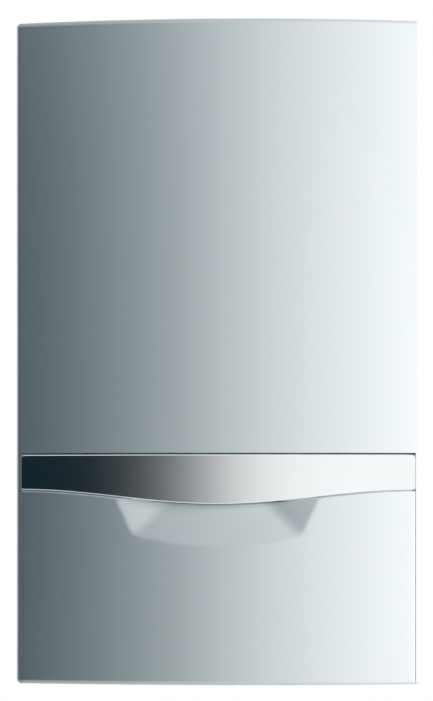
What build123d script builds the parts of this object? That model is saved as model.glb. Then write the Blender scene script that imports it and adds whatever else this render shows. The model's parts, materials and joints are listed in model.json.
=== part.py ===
from build123d import *
import math
import os

# A wall-hung condensing gas boiler, in millimetres. X runs to the right seen from the front,
# Y towards the wall and Z up. The origin is midway between the two wall holes of the bracket,
# on the wall. Heights (h) count from the lower edge of the casing.

# Casing
case_width = 440.0
case_height = 720.0
case_depth = 338.0  # wall to the crown of the front
front_bulge = 28.0  # how far the crown stands out from the vertical front corners
corner_radius = 5.0
sheet = 1.5
bracket_height = 658.0  # wall holes above the casing's lower edge
side_depth = 240.0  # the side panels end here and the cover begins
seam_gap = 0.8
half_width = case_width / 2
front_radius = (half_width**2 + front_bulge**2) / (2 * front_bulge)
arc_centre_y = front_radius - case_depth

# Front cover, flap and trim band
flap_seam = 251.0  # lower edge of the cover's skin
seam_shadow = 1.3
bay_half = 214.6  # the flap's bay between the cover's rounded side edges
apron_depth = 292.0  # the panel behind the flap
flap_half = 213.8
flap_top = flap_seam - seam_shadow
flap_wall = 2.5
flap_back = 300.0  # rear edge of the flap's rim
band_wall = 3.0
band_ends = 211.0  # height of the band's lower edge at its two ends
band_sag = 15.3  # how much lower it is at the middle
window_half, window_low, window_high = 148.6, 63.4, 170.6
ledge_depth = 247.0  # front of the cover's inner sealing ledge
ledge_width = 16.0
hinge_depth, hinge_height, hinge_pin_radius = 304.0, 10.0, 3.0
knuckle_radius = 7.0
ear_start, ear_end = 186.5, 191.0  # the cover's hinge ear; the flap's knuckle is beside it
running_gap = 0.06
magnet_x, magnet_h = 120.0, 231.0

# Finger grip: a sloped scoop in the flap that runs up behind the band
grip_back = 310.0
grip_break = 204.0  # the slope ends here and the upright back begins
grip_low = 149.0  # the slope meets the crown of the front here
grip_top = 222.0
grip_back_half = 57.0
grip_flank_run = 2.42  # sideways spread of a flank per unit of depth
grip_taper = 0.54  # how much a flank draws in per unit of height

# Chassis
tray_depth = 14.0  # rear frame, from the wall to its front face
base_height = 24.0
base_half = 202.5
foot_start = 197.0  # inner edge of the side panels' feet that carry the base
foot_screws = (-60.0, -205.0)
stud_x, stud_heights = 211.0, (30.0, 690.0)
stub_low, stub_groove = 4.0, 19.0  # a pipe's free end runs from its mouth to a rolled groove
stub_y = -127.0
heating_x, water_x = 130.0, 65.0
heating_radius, water_radius, gas_radius = 11.0, 7.5, 7.5

# Wall bracket
bracket_half = 145.0
bracket_plate = 2.5
wall_hole_spacing, wall_hole_radius = 200.0, 4.25

# Flue adapter for a 60/100 concentric flue
flue_y = -170.0
flue_rise = 15.0
flue_bore, flue_pipe_radius = 30.3, 32.5
air_bore, air_collar_radius = 50.4, 53.0

# Heat exchanger and burner
drum_h, drum_radius = 440.0, 112.0
drum_rear, drum_front = -92.0, -222.0
port_x, port_y, port_low = 62.0, -150.0, 326.0
door_radius, door_front = 104.0, -236.0
fitting_radius, electrode_angle, sight_angle = 62.0, 30.0, -30.0
spout_y, spout_low = -185.0, 318.0

# Fan and gas train
fan_x, fan_h, fan_radius = -125.0, 592.0, 58.0
fan_rear, fan_front = -236.0, -290.0
duct_x, duct_y, duct_radius = -87.0, -266.0, 21.0
venturi_rear = -196.0
valve_x, valve_y, valve_low, valve_high = -180.0, -216.0, 455.0, 525.0

# Hydraulics
pump_h, pump_radius = 130.0, 45.0
pump_rear, pump_front, motor_front = -95.0, -135.0, -190.0
exchanger_half, exchanger_low, exchanger_high = 78.0, 100.0, 170.0
exchanger_rear, exchanger_front = -104.0, -150.0
trap_x, trap_y, trap_low, trap_high, trap_radius = 182.0, -174.0, 184.0, 262.0, 23.0

# Controls
box_half, box_low, box_high = 188.0, 40.0, 192.0
box_rear, box_front = 205.0, 284.0
panel_half, panel_low, panel_high = 147.0, 65.0, 169.0
panel_front = 291.0
panel_wall = 4.0
controls_h = 118.0
gauge_x, gauge_radius = -108.0, 24.0
display_x, display_width, display_height = -18.0, 96.0, 52.0
button_radius, button_proud, button_travel = 9.0, 2.5, 1.2
minus_x, plus_x, reset_x = 56.0, 84.0, 120.0
keypad_left, keypad_right, keypad_rear = 42.0, 134.0, 9.0

FORWARD, BACKWARD = (0, -1, 0), (0, 1, 0)
UP, DOWN = (0, 0, 1), (0, 0, -1)
RIGHT, LEFT = (1, 0, 0), (-1, 0, 0)


def at(x, y, h):
    """A point from its height above the casing's lower edge."""
    return Vector(x, y, h - bracket_height)


def block(x0, x1, y0, y1, h0, h1):
    """A box between two values on each axis."""
    size = (abs(x1 - x0), abs(y1 - y0), abs(h1 - h0))
    middle = at((x0 + x1) / 2, (y0 + y1) / 2, (h0 + h1) / 2)
    return Location(middle) * Box(*size)


def rod(point, direction, radius, length):
    """A round bar from a point along a direction."""
    base = Plane(origin=point, z_dir=direction)
    return base * Cylinder(radius, length, align=(Align.CENTER, Align.CENTER, Align.MIN))


def ring(point, direction, outer, inner, length):
    return rod(point, direction, outer, length) - rod(point, direction, inner, length)


def cone(point, direction, start, end, length):
    base = Plane(origin=point, z_dir=direction)
    return base * Cone(start, end, length, align=(Align.CENTER, Align.CENTER, Align.MIN))


def hexagon(point, direction, across_flats, length):
    base = Plane(origin=point, z_dir=direction)
    outline = RegularPolygon(across_flats / 2, 6, major_radius=False)
    return extrude(base * outline, length)


def pipe(points, radius, bend, bores=(), wall=1.0, depth=22.0):
    """A round pipe through points with one bend radius; bores names the open ends, 0 or -1."""
    pieces = []
    start = points[0]
    for before, corner, after in zip(points, points[1:], points[2:]):
        come, leave = (corner - before).normalized(), (after - corner).normalized()
        turn = math.radians(come.get_angle(leave))
        bend_start = corner - come * bend * math.tan(turn / 2)
        inward = (leave - come * come.dot(leave)).normalized()
        axis = Axis(bend_start + inward * bend, come.cross(leave))
        pieces.append(rod(start, come, radius, (bend_start - start).length))
        section = Plane(origin=bend_start, z_dir=come) * Circle(radius)
        pieces.append(revolve(section, axis, math.degrees(turn)))
        start = corner + leave * bend * math.tan(turn / 2)
    last = (points[-1] - points[-2]).normalized()
    pieces.append(rod(start, last, radius, (points[-1] - start).length))
    body = pieces[0].fuse(*pieces[1:])
    for end in bores:
        inward = points[1] - points[0] if end == 0 else -last
        body -= rod(points[end], inward, radius - wall, depth)
    return body


def both_sides(shape):
    return shape + mirror(shape, about=Plane.YZ)


def round_block(x0, x1, y0, y1, h0, h1, radius, axis):
    """A box whose edges along one axis are rounded."""
    body = block(x0, x1, y0, y1, h0, h1)
    return fillet(body.edges().filter_by(axis), radius)


def front_y(x, inset=0.0):
    """The bowed front's Y at a place across its width."""
    return arc_centre_y - math.sqrt((front_radius - inset) ** 2 - x**2)


def envelope(inset=0.0):
    """The bowed casing front as a rounded solid, drawn in by inset all round."""
    half = half_width - inset
    rear = -side_depth - seam_gap
    edge_y = front_y(half, inset)
    right = Line((half, rear), (half, edge_y))
    front = ThreePointArc((half, edge_y), (0, front_y(0, inset)), (-half, edge_y))
    left = Line((-half, edge_y), (-half, rear))
    back = Line((-half, rear), (half, rear))
    plan = Location(at(0, 0, inset)) * Face(Wire([right, front, left, back]))
    body = extrude(plan, case_height - 2 * inset, dir=UP)
    if inset >= corner_radius:
        return body
    on_rear = body.faces().sort_by(Axis.Y)[-1].edges()
    rounded = [e for e in body.edges() if e not in on_rear]
    return fillet(rounded, corner_radius - inset)


# Chassis


def wall_bracket():
    """A steel strip on the wall whose upstand carries the boiler."""
    low, shelf, top = bracket_height - 25, bracket_height + 22, bracket_height + 39.4
    upstand = 8.0  # its distance from the wall
    strip = block(-bracket_half, bracket_half, -bracket_plate, 0, low, shelf)
    step = block(-bracket_half, bracket_half, -upstand - bracket_plate, 0, shelf - bracket_plate, shelf)
    lip = block(-bracket_half, bracket_half, -upstand - bracket_plate, -upstand, shelf - 1, top)
    body = strip + step + lip
    for x in (-wall_hole_spacing / 2, wall_hole_spacing / 2):
        body -= rod(at(x, 1, bracket_height), FORWARD, wall_hole_radius, 6)
    slot = SlotOverall(40, 2 * wall_hole_radius)
    return body - extrude(Plane(origin=at(0, 1, bracket_height), z_dir=FORWARD) * slot, 6)


def back_frame():
    """A pressed tray with its rim on the wall, pressed ribs and a hook over the bracket."""
    half, low, high = half_width - 3, 2.0, case_height - 4
    lip_h = bracket_height + 39.5
    hook_half = bracket_half + 4
    body = block(-half, half, -tray_depth, 0, low, high)
    body -= block(sheet - half, half - sheet, sheet - tray_depth, 1, low + sheet, high - sheet)
    body -= block(-hook_half - 1, hook_half + 1, -tray_depth - 1, 1 - tray_depth + sheet, lip_h - 58, lip_h)
    body += block(-hook_half, hook_half, sheet - tray_depth - 0.1, -6, lip_h, lip_h + sheet)
    body += block(-hook_half, hook_half, -6 - sheet, -6, lip_h - 9.5, lip_h + sheet)
    bead = round_block(-9, 9, 4 - tray_depth, sheet - tray_depth - 0.1, 60, 590, 8.9, Axis.Y)
    for x in (-140, 0, 140):
        body += Location((x, 0, 0)) * bead
    return body


def side_panel():
    """The right side panel: a folded sheet with a flange in front and one behind."""
    top = case_height - sheet
    wall = block(half_width - sheet, half_width, -side_depth, -1, 0, top)
    front = block(half_width - 16, half_width, -side_depth, sheet - side_depth, 0, top)
    hem = block(half_width - 16, half_width - 16 + sheet, -side_depth, 8 - side_depth, 0, top)
    rear = block(half_width - 17, half_width, -tray_depth - 0.3 - sheet, -tray_depth - 0.3, 0, top)
    foot = block(foot_start, half_width, 3 - side_depth, -tray_depth - sheet, base_height - sheet, base_height)
    body = wall + front + hem + rear + foot
    for h in stud_heights:
        body -= rod(at(stud_x, 5 - side_depth, h), FORWARD, 3.0, 8)
    for y in foot_screws:
        body -= rod(at(foot_start + 2.8, y, base_height - 5), UP, 2.0, 8)
    return body


def top_plate():
    """The roof of the casing, with folded edges and the round opening for the flue adapter."""
    body = block(-half_width, half_width, -side_depth, -1, case_height - sheet, case_height)
    body += block(19 - half_width, half_width - 19, -side_depth, sheet - side_depth, case_height - 16, case_height)
    body -= rod(at(0, flue_y, case_height - 5), UP, air_collar_radius + 0.5, 10)
    for x in (-58, 58):
        for y in (-58, 58):
            body -= rod(at(x, flue_y + y, case_height - 5), UP, 2.0, 10)
    return body


def base_plate():
    """The floor of the casing, with a hole for every connection."""
    body = block(-base_half, base_half, 3 - side_depth, -tray_depth, base_height, base_height + sheet)
    for edge in (3 - side_depth, -tray_depth - sheet):
        body += block(-base_half, base_half, edge, edge + sheet, base_height, base_height + 14)
    for x, y, radius in pipe_places():
        body -= rod(at(x, y, base_height - 2), UP, radius + 4, 8)
    for y in foot_screws:
        hole = rod(at(foot_start + 2.8, y, base_height - 2), UP, 2.0, 6)
        body -= both_sides(hole)
    return body


def pipe_places():
    """Where each connection goes through the base: x, y and pipe radius."""
    return (
        (-heating_x, stub_y, heating_radius),
        (-water_x, stub_y, water_radius),
        (0, stub_y, gas_radius),
        (water_x, stub_y, water_radius),
        (heating_x, stub_y, heating_radius),
        (trap_x, trap_y, 9.0),
    )


def groove(x, y, radius):
    """What a rolled groove takes from a pipe at the top of its free end."""
    return ring(at(x, y, stub_groove), UP, radius + 1, radius - 0.4, 1.5)


def pipe_grommets():
    """A rubber sleeve round each connection, its collar resting on the base plate."""
    rings = []
    for x, y, radius in pipe_places():
        collar = ring(at(x, y, base_height + sheet), UP, radius + 7, radius, 3)
        rings.append(collar + ring(at(x, y, base_height - 2), UP, radius + 4, radius, sheet + 3))
    return Compound(rings)


def locating_studs():
    """Four studs on the side panels that the cover's ledge slides over."""
    studs = []
    for x in (-stud_x, stud_x):
        for h in stud_heights:
            shank = rod(at(x, 2 - side_depth, h), FORWARD, 3.0, 13)
            studs.append(shank + cone(at(x, -11 - side_depth, h), FORWARD, 3.0, 1.6, 4))
    return Compound(studs)


def cover_seal():
    """The soft frame between the side panels' flanges and the cover's ledge."""
    front, rear = 1.6 - ledge_depth, -side_depth - 0.1
    outer = block(4 - half_width, half_width - 4, front, rear, 8, case_height - 6)
    outer -= block(14 - half_width, half_width - 14, front - 1, rear + 1, 18, case_height - 16)
    for x in (-stud_x, stud_x):
        for h in stud_heights:
            outer -= rod(at(x, 5 - side_depth, h), FORWARD, 3.2, 15)
    return outer


def case_screws():
    """Pan-head screws that hold the flue adapter and the base plate."""
    foot_x = foot_start + 2.8
    places = [(at(x, flue_y + y, case_height + 3), UP, 9) for x in (-58, 58) for y in (-58, 58)]
    places += [(at(x, y, base_height - sheet), DOWN, 6) for x in (-foot_x, foot_x) for y in foot_screws]
    screws = []
    for point, direction, length in places:
        head = cone(point, direction, 3.8, 2.8, 2.2)
        screws.append(head + rod(point, -Vector(direction), 1.9, length))
    return Compound(screws)


# Front cover, flap and band


def front_cover():
    """The bowed front shell with rounded edges, an apron behind the flap and a sealing ledge."""
    far = 400.0
    inside = envelope(sheet)
    upper = inside & block(-far, far, -far, 0, flap_seam + sheet, case_height)
    lower = inside & block(-far, far, sheet - apron_depth, 0, -1, flap_seam + 2)
    body = envelope() - upper - lower
    body -= block(sheet - half_width, half_width - sheet, -side_depth - 6, 0, 2 * sheet, case_height - sheet)
    body -= block(-bay_half, bay_half, -far, -apron_depth, -1, flap_seam)
    body -= block(-205, 205, 6 - apron_depth, 0, -1, 3)
    opening = half_width - ledge_width
    ledge = block(1 - half_width, half_width - 1, -ledge_depth, sheet - ledge_depth, 1, case_height - 1)
    ledge -= block(-opening, opening, -ledge_depth - 1, 3 - ledge_depth, 20, case_height - ledge_width)
    body += ledge
    for x in (-stud_x, stud_x):
        for h in stud_heights:
            body -= rod(at(x, 5 - ledge_depth, h), FORWARD, 3.3, 12)
    body -= block(-window_half, window_half, -apron_depth - 1, 1 - apron_depth + sheet, window_low, window_high)
    return body + both_sides(knuckle(ear_start, ear_end, 0.5 - apron_depth) - hinge_hole(hinge_pin_radius))


def knuckle(x0, x1, root_y):
    """A hinge lug whose round end is about the pin, with a web to root_y."""
    low, high = hinge_height - knuckle_radius, hinge_height + knuckle_radius
    eye = rod(at(x0, -hinge_depth, hinge_height), RIGHT, knuckle_radius, x1 - x0)
    return eye + block(x0, x1, -hinge_depth, root_y, low, high)


def hinge_hole(radius):
    return rod(at(ear_start - 5, -hinge_depth, hinge_height), RIGHT, radius, 20)


def band_outline(low=0.0, top=flap_top, half=flap_half):
    """The band seen from the front: straight above, and below a shallow S-curve to each side of the middle."""
    sag = band_sag / 2
    step_x, end_h = half / 2, band_ends - low
    radius = (step_x**2 + sag**2) / (2 * sag)
    rise = radius - math.sqrt(radius**2 - (step_x / 2) ** 2)
    points = {}
    for side in (-1, 1):
        points[side] = [
            at(side * half, -case_depth, end_h),
            at(side * step_x * 1.5, -case_depth, end_h - rise),
            at(side * step_x, -case_depth, end_h - sag),
        ]
    crown = at(0, -case_depth, end_h - band_sag)
    left = ThreePointArc(*points[-1])
    middle = ThreePointArc(points[-1][2], crown, points[1][2])
    right = ThreePointArc(*reversed(points[1]))
    straight = Polyline(points[1][0], at(half, -case_depth, top), at(-half, -case_depth, top), points[-1][0])
    return Face(Wire([left, middle, right, *straight.edges()]))


def band_zone(low=0.0, top=flap_top, half=flap_half):
    """The band's outline carried through the front, as a cutter."""
    face = Location((0, -20, 0)) * band_outline(low, top, half)
    return extrude(face, 60, dir=BACKWARD)


def grip_pocket(wall=0.0):
    """The finger grip's room: a sloped floor and two slanted flanks, then an upright part behind the band."""
    front = 350.0
    slope = (case_depth - grip_back) / (grip_break - grip_low)
    lean = math.sqrt(1 + slope**2)
    spread = math.sqrt(1 + grip_flank_run**2 + grip_taper**2)

    def section(h):
        back = grip_back + slope * max(0.0, grip_break - h) - wall * lean
        drawn = grip_taper * max(0.0, grip_break - h)
        near = grip_back_half + grip_flank_run * (back - grip_back) - drawn + wall * spread
        wide = near + grip_flank_run * (front - back)
        plan = Polyline((-near, -back), (near, -back), (wide, -front), (-wide, -front), close=True)
        return Location(at(0, 0, h)) * make_face(plan)

    slope_part = loft([section(grip_low - 9), section(grip_break)], ruled=True)
    upright = extrude(section(grip_break), grip_top + wall - grip_break, dir=UP)
    return slope_part + upright


def flap():
    """The folding lower front: a moulded shell with the scooped grip, a seat for the band and two knuckles."""
    far = 400.0
    body = envelope() & block(-flap_half, flap_half, -far, -flap_back, -1, flap_top)
    inner = flap_half - flap_wall
    hollow = envelope(flap_wall) & block(-inner, inner, -far, 1, flap_wall, flap_top - flap_wall)
    shell = body - hollow
    bowl = grip_pocket(flap_wall) & body
    shell = shell + bowl - grip_pocket()
    seat = band_zone(0.1) - envelope(band_wall + 0.1)
    backing = (band_zone() & envelope(band_wall + 0.1)) - envelope(band_wall + flap_wall)
    backing = (backing & block(-inner - 1, inner + 1, -far, 0, 0, flap_top)) - grip_pocket()
    shell = shell + backing - seat
    lug = knuckle(ear_end + 1, ear_end + 8, -case_depth) & envelope(flap_wall / 2)
    lug -= hinge_hole(hinge_pin_radius + running_gap)
    pad = block(magnet_x - 9, magnet_x + 9, front_y(magnet_x + 9, 5), -flap_back, magnet_h - 7, magnet_h + 7)
    notch = block(ear_start - 1, ear_end + 1, -hinge_depth - 9, 1 - flap_back, -1, flap_wall + 0.4)
    return shell + both_sides(lug) + both_sides(pad) - both_sides(notch)


def trim_band():
    """The metallic band across the top of the flap; its lower middle is what the fingers pull."""
    body = (band_zone() & envelope()) - envelope(band_wall)
    lip = block(-grip_back_half, grip_back_half, front_y(0, 7), front_y(grip_back_half, 1), 0, band_ends)
    lip = (lip & band_zone() & envelope(1)) & block(-60, 60, -400, 0, 0, band_ends - band_sag + 3.5)
    return body + lip


def hinge_pins():
    """Two short pins that the flap turns on."""
    head = rod(at(ear_start - 2, -hinge_depth, hinge_height), RIGHT, 4.6, 2)
    return both_sides(head + rod(at(ear_start, -hinge_depth, hinge_height), RIGHT, hinge_pin_radius, 12))


def flap_magnets():
    """Two magnetic catches on the apron."""
    low, high = magnet_h - 6, magnet_h + 6
    case = round_block(magnet_x - 12, magnet_x + 12, -apron_depth - 7.4, -apron_depth, low, high, 3, Axis.Y)
    return both_sides(case)


# Flue


def flue_adapter():
    """A flanged collar for the air pipe round a socket for the flue pipe."""
    top = case_height + flue_rise
    body = ring(at(0, flue_y, case_height), UP, 75, air_bore, 3)
    body += ring(at(0, flue_y, case_height - 28), UP, air_collar_radius, air_bore, 28 + flue_rise)
    body += ring(at(0, flue_y, case_height - 44), UP, flue_pipe_radius, flue_bore, 44 + flue_rise)
    body -= rod(at(0, flue_y, case_height - 45), UP, flue_bore + 0.7, 45 - 22.5)
    body += ring(at(0, flue_y, case_height - 28), UP, flue_pipe_radius, 28, 3)
    body += ring(at(0, flue_y, top - 7), UP, 36, flue_bore, 7)
    body -= ring(at(0, flue_y, top - 4), UP, 34, flue_bore - 1, 4)
    for angle in (30, 150, 270):
        web = block(flue_pipe_radius - 1, air_bore + 1, -1.5, 1.5, case_height - 28, case_height - 12)
        body += Location((0, flue_y, 0)) * (Rotation(0, 0, angle) * web)
    for x in (-58, 58):
        for y in (-58, 58):
            body -= rod(at(x, flue_y + y, case_height - 1), UP, 2.0, 6)
        body += ring(at(x * 1.1, flue_y, case_height + 2), UP, 6.5, 4.0, 7)
    return body


def flue_seal():
    """The lip seal in the mouth of the flue socket."""
    return ring(at(0, flue_y, case_height + flue_rise - 4), UP, 34, flue_bore + 0.9, 4)


def test_point_caps():
    """Plugs of the two flue test points."""
    caps = []
    for x in (-63.8, 63.8):
        cap = rod(at(x, flue_y, case_height + 9), UP, 7.5, 3) + rod(at(x, flue_y, case_height + 4), UP, 4.0, 6)
        caps.append(cap + block(x - 6, x + 6, flue_y - 1.2, flue_y + 1.2, case_height + 11, case_height + 14.5))
    return Compound(caps)


def flue_riser():
    """The plastic pipe from the heat exchanger up into the adapter."""
    low = drum_h + drum_radius + 3.5
    body = ring(at(0, flue_y, low + 23), UP, 29.8, 27.8, case_height - 29 - low - 23)
    return body + ring(at(0, flue_y, low), UP, 36.0, 33.2, 26) + ring(at(0, flue_y, low + 22), UP, 36.0, 28.5, 4)


# Heat exchanger and burner


def heat_exchanger():
    """A stainless drum with raised bands, a front flange, a flue port and three ports below."""
    length = drum_rear - drum_front
    body = rod(at(0, drum_rear, drum_h), FORWARD, drum_radius, length)
    for step in (0.16, 0.4, 0.64):
        body += rod(at(0, drum_rear - step * length, drum_h), FORWARD, drum_radius + 3, 6)
    body += rod(at(0, drum_front, drum_h), FORWARD, door_radius + 8, 4)
    body -= rod(at(0, drum_front - 5, drum_h), BACKWARD, 78, 110)
    for x in (-port_x, port_x):
        body += rod(at(x, port_y, port_low), UP, 15, 40)
        body += rod(at(x, port_y, port_low), UP, 19, 9)
    body += rod(at(0, flue_y, drum_h + drum_radius - 6), UP, 33, 28)
    body -= rod(at(0, flue_y, drum_h + 84), UP, 29, 60)
    return body + rod(at(0, spout_y, spout_low + 2), UP, 11, 24)


def burner_door():
    """The cast door with its radial ribs and the neck for the mixture."""
    body = rod(at(0, door_front + 8, drum_h), FORWARD, door_radius, 8)
    body -= rod(at(0, door_front + 9, drum_h), FORWARD, 30, 12)
    body += ring(at(0, door_front, drum_h), FORWARD, 40, 30, 4)
    for turn in range(6):
        rib = block(38, door_radius - 16, door_front - 4, door_front, drum_h - 1.5, drum_h + 1.5)
        body += turned(rib, 60 * turn)
    for turn in range(6):
        body -= rod(on_door(door_radius - 9, 30 + 60 * turn, door_front + 10), FORWARD, 3.5, 12)
    for angle in (electrode_angle, sight_angle):
        body -= rod(on_door(fitting_radius, angle, door_front + 10), FORWARD, 5.5, 12)
    return body


def turned(shape, angle):
    """A shape turned about the drum's axis."""
    axis = Axis((0, 0, drum_h - bracket_height), BACKWARD)
    return shape.rotate(axis, angle)


def on_door(radius, angle, y):
    """A point on the burner door in polar terms."""
    turn = math.radians(angle)
    return at(radius * math.cos(turn), y, drum_h + radius * math.sin(turn))


def door_gasket():
    return ring(at(0, drum_front - 4, drum_h), FORWARD, 84, 79, 2)


def burner_tube():
    """The perforated burner cylinder behind the door."""
    body = ring(at(0, drum_front - 6, drum_h), BACKWARD, 38, 36.5, 92)
    body += rod(at(0, drum_front + 86, drum_h), BACKWARD, 38, 2)
    body += ring(at(0, drum_front - 6, drum_h), BACKWARD, 46, 36.5, 2)
    return body


def door_nuts():
    """Six flanged nuts on their studs round the door."""
    nuts = []
    for turn in range(6):
        spot = on_door(door_radius - 9, 30 + 60 * turn, door_front)
        stud = rod(spot + Vector(0, 10, 0), FORWARD, 3.0, 17)
        nuts.append(hexagon(spot, FORWARD, 10, 5) + stud)
    return Compound(nuts)


def ignition_electrode():
    """The spark electrode: a mounting plate, a ceramic neck and a bent wire tip."""
    spot = on_door(fitting_radius, electrode_angle, door_front)
    body = rod(spot, FORWARD, 11, 2) + rod(spot, FORWARD, 7.5, 7)
    body += rod(spot + Vector(0, 24, 0), FORWARD, 5.2, 39)
    return body + rod(spot + Vector(0, 40, 0), FORWARD, 1.5, 20)


def sight_glass():
    """The round spy window in the door, in its threaded ring."""
    spot = on_door(fitting_radius, sight_angle, door_front)
    return ring(spot, FORWARD, 11, 5.4, 4) + rod(spot + Vector(0, 6, 0), FORWARD, 5.4, 8.5)


# Fan and gas train


def fan_housing():
    """A spiral volute with its round inlet behind and the outlet neck pointing down."""
    depth = fan_rear - fan_front
    body = rod(at(fan_x, fan_rear, fan_h), FORWARD, fan_radius, depth)
    neck_top, neck_low = fan_h, fan_h - fan_radius - 4
    body += block(duct_x - 21, duct_x + 21, fan_rear - 4, fan_front + 3, neck_low + 6, neck_top)
    body += block(duct_x - 27, duct_x + 27, fan_rear - 1, fan_front, neck_low, neck_low + 6)
    body -= rod(at(fan_x, fan_rear - 4, fan_h), FORWARD, fan_radius - 5, depth - 8)
    body -= rod(at(duct_x, duct_y, neck_low - 1), UP, 17, 60)
    body -= rod(at(fan_x, fan_rear + 1, fan_h), FORWARD, 24, 6)
    body -= rod(at(fan_x, fan_front - 1, fan_h), BACKWARD, 5.0, 8)
    for angle in (50, 130, 230):
        turn = math.radians(angle)
        ear = at(fan_x + (fan_radius + 2) * math.cos(turn), fan_rear - 8, fan_h + (fan_radius + 2) * math.sin(turn))
        body += rod(ear, FORWARD, 6, depth - 12)
    return body


def fan_impeller():
    """A backward-curved wheel on the motor's shaft."""
    back = fan_rear - 12
    body = rod(at(fan_x, back, fan_h), FORWARD, 8, 32) + rod(at(fan_x, back - 29, fan_h), FORWARD, 47, 3)
    body += ring(at(fan_x, back, fan_h), FORWARD, 47, 27, 2)
    axis = Axis((fan_x, 0, fan_h - bracket_height), BACKWARD)
    blade = block(fan_x + 24, fan_x + 47, back - 30, back - 1, fan_h - 1, fan_h + 1)
    blade = blade.rotate(Axis((fan_x + 24, 0, fan_h - bracket_height), BACKWARD), 30)
    blade &= rod(at(fan_x, back, fan_h), FORWARD, 47, 32)
    for turn in range(10):
        body += blade.rotate(axis, 36 * turn)
    return body + rod(at(fan_x, back - 31, fan_h), FORWARD, 4.0, 24)


def fan_motor():
    """The fan's flat motor with a bore for the shaft and a plug socket."""
    body = rod(at(fan_x, fan_front, fan_h), FORWARD, 36, 5) + rod(at(fan_x, fan_front, fan_h), FORWARD, 29, 19)
    body -= rod(at(fan_x, fan_front + 1, fan_h), FORWARD, 4.0 + running_gap, 17)
    for turn in range(12):
        slot = block(fan_x + 24, fan_x + 31, fan_front - 20, fan_front - 14, fan_h - 2, fan_h + 2)
        body -= slot.rotate(Axis((fan_x, 0, fan_h - bracket_height), BACKWARD), 30 * turn)
    return body + block(fan_x - 9, fan_x + 9, fan_front - 12, fan_front - 3, fan_h - 42, fan_h - 27)


def venturi():
    """The mixer on the fan's inlet, with the gas inlet at its left."""
    length = venturi_rear - fan_rear
    start = at(fan_x, venturi_rear, fan_h)
    body = rod(start, FORWARD, 29, 6) + rod(start, FORWARD, 25, length) + rod(start + Vector(0, -length + 5, 0), FORWARD, 32, 5)
    body += rod(at(fan_x, valve_y, fan_h), LEFT, 12, 36)
    body -= cone(start + Vector(0, 0.5, 0), FORWARD, 21.5, 13, length / 2)
    body -= cone(start + Vector(0, 0.4 - length / 2, 0), FORWARD, 13, 20, length / 2)
    return body - rod(at(fan_x - 10, valve_y, fan_h), LEFT, 6, 30)


def air_intake_duct():
    """A bent plastic duct with a flared mouth that feeds air to the mixer."""
    path = [at(fan_x, venturi_rear, fan_h), at(fan_x, -145, fan_h), at(fan_x, -145, 668)]
    body = pipe(path, 24, 32, bores=(0, -1), wall=2.5, depth=18)
    mouth = cone(at(fan_x, -145, 668), UP, 24, 33, 14) - cone(at(fan_x, -145, 667.9), UP, 21.5, 30.5, 14.2)
    return body + mouth


def mixing_duct():
    """The cast duct from the fan down and across to the hood on the burner door."""
    top = fan_h - fan_radius - 4
    flange = block(duct_x - 27, duct_x + 27, fan_rear - 1, fan_front, top - 5, top)
    path = [at(duct_x, duct_y, top - 3), at(duct_x, duct_y, drum_h), at(-10, duct_y, drum_h)]
    body = pipe(path, duct_radius, 40)
    hood = rod(at(0, door_front - 4, drum_h), FORWARD, 40, 6) + rod(at(0, door_front - 4, drum_h), FORWARD, 34, 44)
    hood += cone(at(0, door_front - 48, drum_h), FORWARD, 34, 24, 6)
    return body + flange + hood


def gas_valve():
    """The gas valve's cast body with its inlet, outlet and regulator caps."""
    body = round_block(valve_x - 24, valve_x + 24, valve_y - 27, valve_y + 27, valve_low + 8, valve_high - 8, 6, Axis.Z)
    body += rod(at(valve_x, valve_y, valve_low), UP, 15, 10) + rod(at(valve_x, valve_y, valve_high - 10), UP, 15, 10)
    body += hexagon(at(valve_x, valve_y, valve_low), UP, 27, 6)
    body += rod(at(valve_x - 12.4, valve_y - 27, valve_low + 24), FORWARD, 11, 8)
    return body + rod(at(valve_x + 12, valve_y - 27, valve_high - 20), FORWARD, 7, 7)


def gas_valve_coils():
    """The two solenoid coils in front of the valve body."""
    coils = []
    for x in (valve_x - 11, valve_x + 11):
        low = valve_high - 30 if x < valve_x else valve_low + 14
        body = round_block(x - 9, x + 9, valve_y - 27 - 26, valve_y - 27, low, low + 18, 4, Axis.Y)
        coils.append(body + rod(at(x, valve_y - 53, low + 9), FORWARD, 4, 3))
    return Compound(coils)


def gas_pipe():
    """The gas line from the connection up to the valve, and the link from the valve to the mixer."""
    route = [
        at(0, stub_y, stub_low),
        at(0, stub_y, 62),
        at(0, -62, 62),
        at(0, -62, 236),
        at(valve_x, -62, 236),
        at(valve_x, valve_y, 262),
        at(valve_x, valve_y, valve_low),
    ]
    line = pipe(route, gas_radius, 16, bores=(0,))
    link = pipe([at(valve_x, valve_y, valve_high), at(valve_x, valve_y, fan_h), at(fan_x - 36, valve_y, fan_h)], 6, 12)
    nuts = hexagon(at(valve_x, valve_y, valve_low - 12), UP, 24, 12) + line - groove(0, stub_y, gas_radius)
    return Compound([nuts, link + hexagon(at(valve_x, valve_y, valve_high), UP, 20, 9)])


# Hydraulics


def expansion_vessel():
    """A flat pressed vessel with a rolled seam, held against the rear frame."""
    rear, front = -tray_depth, -80.0
    middle = (rear + front) / 2
    body = round_block(-160, 160, front, rear, 262, 640, 60, Axis.Y)
    body = chamfer(body.faces().sort_by(Axis.Y)[0].edges(), 14)
    body -= round_block(-158, 158, front + 14, rear - 2, 264, 638, 58, Axis.Y)
    body += round_block(-165, 165, middle - 2, middle + 2, 257, 645, 65, Axis.Y)
    return body + rod(at(-100, middle, 250), UP, 8, 14)


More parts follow.
